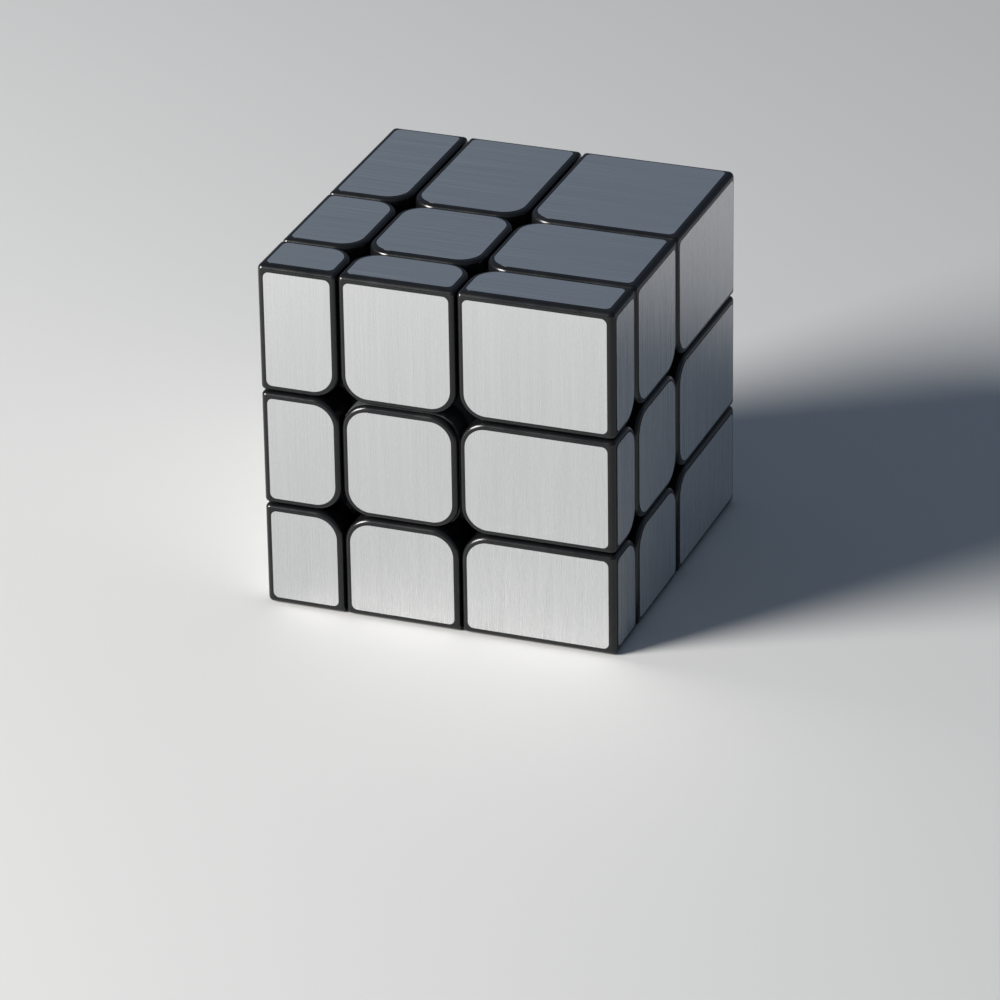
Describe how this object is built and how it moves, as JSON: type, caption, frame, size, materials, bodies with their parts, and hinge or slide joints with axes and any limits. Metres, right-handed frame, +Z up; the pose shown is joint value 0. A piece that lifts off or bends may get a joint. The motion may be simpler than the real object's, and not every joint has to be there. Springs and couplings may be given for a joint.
{
  "type": "mirror block cube",
  "caption": "Shape-changing turning puzzle cube with unequal layers, silver brushed facets on black blocks, around a sprung core that lets each outer layer turn.",
  "frame": {"origin": "middle of the bottom face, which is the underside of the 17 mm layer", "axes": "+Z up through the 21 mm layer, -Y out of the face of the 10 mm layer, which is the front, and +X out of the face of the 25 mm layer, which is the right side"},
  "size_m": [0.057, 0.057, 0.057],
  "materials": {
    "black_gloss": "gloss",
    "inner_plastic": "satin",
    "core_plastic": "satin",
    "zinc_steel": "satin",
    "spring_steel": "satin",
    "silver_foil": "satin"
  },
  "bodies": {
    "mechanism": {"core": "core_plastic", "left_screw": "zinc_steel", "left_spring": "spring_steel", "left_washer": "zinc_steel", "front_screw": "zinc_steel", "front_spring": "spring_steel", "front_washer": "zinc_steel", "down_screw": "zinc_steel", "down_spring": "spring_steel", "down_washer": "zinc_steel", "up_screw": "zinc_steel", "up_spring": "spring_steel", "up_washer": "zinc_steel", "back_screw": "zinc_steel", "back_spring": "spring_steel", "back_washer": "zinc_steel", "right_screw": "zinc_steel", "right_spring": "spring_steel", "right_washer": "zinc_steel"},
    "left_centre": {"left_centre_hub": "inner_plastic", "left_centre_cap": "black_gloss"},
    "front_centre": {"front_centre_hub": "inner_plastic", "front_centre_cap": "black_gloss"},
    "down_centre": {"down_centre_hub": "inner_plastic", "down_centre_cap": "black_gloss"},
    "up_centre": {"up_centre_hub": "inner_plastic", "up_centre_cap": "black_gloss"},
    "back_centre": {"back_centre_hub": "inner_plastic", "back_centre_cap": "black_gloss"},
    "right_centre": {"right_centre_hub": "inner_plastic", "right_centre_cap": "black_gloss"},
    "front_left_cubie": {"front_left_edge": "black_gloss"},
    "down_left_cubie": {"down_left_edge": "black_gloss"},
    "up_left_cubie": {"up_left_edge": "black_gloss"},
    "back_left_cubie": {"back_left_edge": "black_gloss"},
    "down_front_cubie": {"down_front_edge": "black_gloss"},
    "up_front_cubie": {"up_front_edge": "black_gloss"},
    "down_back_cubie": {"down_back_edge": "black_gloss"},
    "up_back_cubie": {"up_back_edge": "black_gloss"},
    "front_right_cubie": {"front_right_edge": "black_gloss"},
    "down_right_cubie": {"down_right_edge": "black_gloss"},
    "up_right_cubie": {"up_right_edge": "black_gloss"},
    "back_right_cubie": {"back_right_edge": "black_gloss"},
    "down_front_left_cubie": {"down_front_left_corner_block": "black_gloss", "down_front_left_corner_foot": "inner_plastic"},
    "up_front_left_cubie": {"up_front_left_corner_block": "black_gloss", "up_front_left_corner_foot": "inner_plastic"},
    "down_back_left_cubie": {"down_back_left_corner_block": "black_gloss", "down_back_left_corner_foot": "inner_plastic"},
    "up_back_left_cubie": {"up_back_left_corner_block": "black_gloss", "up_back_left_corner_foot": "inner_plastic"},
    "down_front_right_cubie": {"down_front_right_corner_block": "black_gloss", "down_front_right_corner_foot": "inner_plastic"},
    "up_front_right_cubie": {"up_front_right_corner_block": "black_gloss", "up_front_right_corner_foot": "inner_plastic"},
    "down_back_right_cubie": {"down_back_right_corner_block": "black_gloss", "down_back_right_corner_foot": "inner_plastic"},
    "up_back_right_cubie": {"up_back_right_corner_block": "black_gloss", "up_back_right_corner_foot": "inner_plastic"}
  },
  "joints": [
    {"name": "left_turn", "type": "hinge", "parent": "mechanism", "child": "left_centre", "pos_m": [-0.006, -0.009, 0.0265], "axis": [1, 0, 0], "continuous": true},
    {"name": "front_turn", "type": "hinge", "parent": "mechanism", "child": "front_centre", "pos_m": [-0.006, -0.009, 0.0265], "axis": [0, 1, 0], "continuous": true},
    {"name": "down_turn", "type": "hinge", "parent": "mechanism", "child": "down_centre", "pos_m": [-0.006, -0.009, 0.0265], "axis": [0, 0, 1], "continuous": true},
    {"name": "up_turn", "type": "hinge", "parent": "mechanism", "child": "up_centre", "pos_m": [-0.006, -0.009, 0.0265], "axis": [0, 0, 1], "continuous": true},
    {"name": "back_turn", "type": "hinge", "parent": "mechanism", "child": "back_centre", "pos_m": [-0.006, -0.009, 0.0265], "axis": [0, 1, 0], "continuous": true},
    {"name": "right_turn", "type": "hinge", "parent": "mechanism", "child": "right_centre", "pos_m": [-0.006, -0.009, 0.0265], "axis": [1, 0, 0], "continuous": true},
    {"name": "front_left_cubie_turn", "type": "hinge", "parent": "front_centre", "child": "front_left_cubie", "pos_m": [-0.006, -0.009, 0.0265], "axis": [1, 0, 0], "continuous": true},
    {"name": "down_left_cubie_turn", "type": "hinge", "parent": "left_centre", "child": "down_left_cubie", "pos_m": [-0.006, -0.009, 0.0265], "axis": [0, 0, 1], "continuous": true},
    {"name": "up_left_cubie_turn", "type": "hinge", "parent": "left_centre", "child": "up_left_cubie", "pos_m": [-0.006, -0.009, 0.0265], "axis": [0, 0, 1], "continuous": true},
    {"name": "back_left_cubie_turn", "type": "hinge", "parent": "back_centre", "child": "back_left_cubie", "pos_m": [-0.006, -0.009, 0.0265], "axis": [1, 0, 0], "continuous": true},
    {"name": "down_front_cubie_turn", "type": "hinge", "parent": "down_centre", "child": "down_front_cubie", "pos_m": [-0.006, -0.009, 0.0265], "axis": [0, 1, 0], "continuous": true},
    {"name": "up_front_cubie_turn", "type": "hinge", "parent": "up_centre", "child": "up_front_cubie", "pos_m": [-0.006, -0.009, 0.0265], "axis": [0, 1, 0], "continuous": true},
    {"name": "down_back_cubie_turn", "type": "hinge", "parent": "down_centre", "child": "down_back_cubie", "pos_m": [-0.006, -0.009, 0.0265], "axis": [0, 1, 0], "continuous": true},
    {"name": "up_back_cubie_turn", "type": "hinge", "parent": "up_centre", "child": "up_back_cubie", "pos_m": [-0.006, -0.009, 0.0265], "axis": [0, 1, 0], "continuous": true},
    {"name": "front_right_cubie_turn", "type": "hinge", "parent": "front_centre", "child": "front_right_cubie", "pos_m": [-0.006, -0.009, 0.0265], "axis": [1, 0, 0], "continuous": true},
    {"name": "down_right_cubie_turn", "type": "hinge", "parent": "right_centre", "child": "down_right_cubie", "pos_m": [-0.006, -0.009, 0.0265], "axis": [0, 0, 1], "continuous": true},
    {"name": "up_right_cubie_turn", "type": "hinge", "parent": "right_centre", "child": "up_right_cubie", "pos_m": [-0.006, -0.009, 0.0265], "axis": [0, 0, 1], "continuous": true},
    {"name": "back_right_cubie_turn", "type": "hinge", "parent": "back_centre", "child": "back_right_cubie", "pos_m": [-0.006, -0.009, 0.0265], "axis": [1, 0, 0], "continuous": true},
    {"name": "down_front_left_cubie_turn", "type": "hinge", "parent": "down_front_cubie", "child": "down_front_left_cubie", "pos_m": [-0.006, -0.009, 0.0265], "axis": [1, 0, 0], "continuous": true},
    {"name": "up_front_left_cubie_turn", "type": "hinge", "parent": "up_front_cubie", "child": "up_front_left_cubie", "pos_m": [-0.006, -0.009, 0.0265], "axis": [1, 0, 0], "continuous": true},
    {"name": "down_back_left_cubie_turn", "type": "hinge", "parent": "down_back_cubie", "child": "down_back_left_cubie", "pos_m": [-0.006, -0.009, 0.0265], "axis": [1, 0, 0], "continuous": true},
    {"name": "up_back_left_cubie_turn", "type": "hinge", "parent": "up_back_cubie", "child": "up_back_left_cubie", "pos_m": [-0.006, -0.009, 0.0265], "axis": [1, 0, 0], "continuous": true},
    {"name": "down_front_right_cubie_turn", "type": "hinge", "parent": "down_front_cubie", "child": "down_front_right_cubie", "pos_m": [-0.006, -0.009, 0.0265], "axis": [1, 0, 0], "continuous": true},
    {"name": "up_front_right_cubie_turn", "type": "hinge", "parent": "up_front_cubie", "child": "up_front_right_cubie", "pos_m": [-0.006, -0.009, 0.0265], "axis": [1, 0, 0], "continuous": true},
    {"name": "down_back_right_cubie_turn", "type": "hinge", "parent": "down_back_cubie", "child": "down_back_right_cubie", "pos_m": [-0.006, -0.009, 0.0265], "axis": [1, 0, 0], "continuous": true},
    {"name": "up_back_right_cubie_turn", "type": "hinge", "parent": "up_back_cubie", "child": "up_back_right_cubie", "pos_m": [-0.006, -0.009, 0.0265], "axis": [1, 0, 0], "continuous": true}
  ],
  "couplings": [
    {"joint": "front_left_cubie_turn", "follows": "left_turn", "ratio": 1},
    {"joint": "down_left_cubie_turn", "follows": "down_turn", "ratio": 1},
    {"joint": "up_left_cubie_turn", "follows": "up_turn", "ratio": 1},
    {"joint": "back_left_cubie_turn", "follows": "left_turn", "ratio": 1},
    {"joint": "down_front_cubie_turn", "follows": "front_turn", "ratio": 1},
    {"joint": "up_front_cubie_turn", "follows": "front_turn", "ratio": 1},
    {"joint": "down_back_cubie_turn", "follows": "back_turn", "ratio": 1},
    {"joint": "up_back_cubie_turn", "follows": "back_turn", "ratio": 1},
    {"joint": "front_right_cubie_turn", "follows": "right_turn", "ratio": 1},
    {"joint": "down_right_cubie_turn", "follows": "down_turn", "ratio": 1},
    {"joint": "up_right_cubie_turn", "follows": "up_turn", "ratio": 1},
    {"joint": "back_right_cubie_turn", "follows": "right_turn", "ratio": 1},
    {"joint": "down_front_left_cubie_turn", "follows": "left_turn", "ratio": 1},
    {"joint": "up_front_left_cubie_turn", "follows": "left_turn", "ratio": 1},
    {"joint": "down_back_left_cubie_turn", "follows": "left_turn", "ratio": 1},
    {"joint": "up_back_left_cubie_turn", "follows": "left_turn", "ratio": 1},
    {"joint": "down_front_right_cubie_turn", "follows": "right_turn", "ratio": 1},
    {"joint": "up_front_right_cubie_turn", "follows": "right_turn", "ratio": 1},
    {"joint": "down_back_right_cubie_turn", "follows": "right_turn", "ratio": 1},
    {"joint": "up_back_right_cubie_turn", "follows": "right_turn", "ratio": 1}
  ]
}
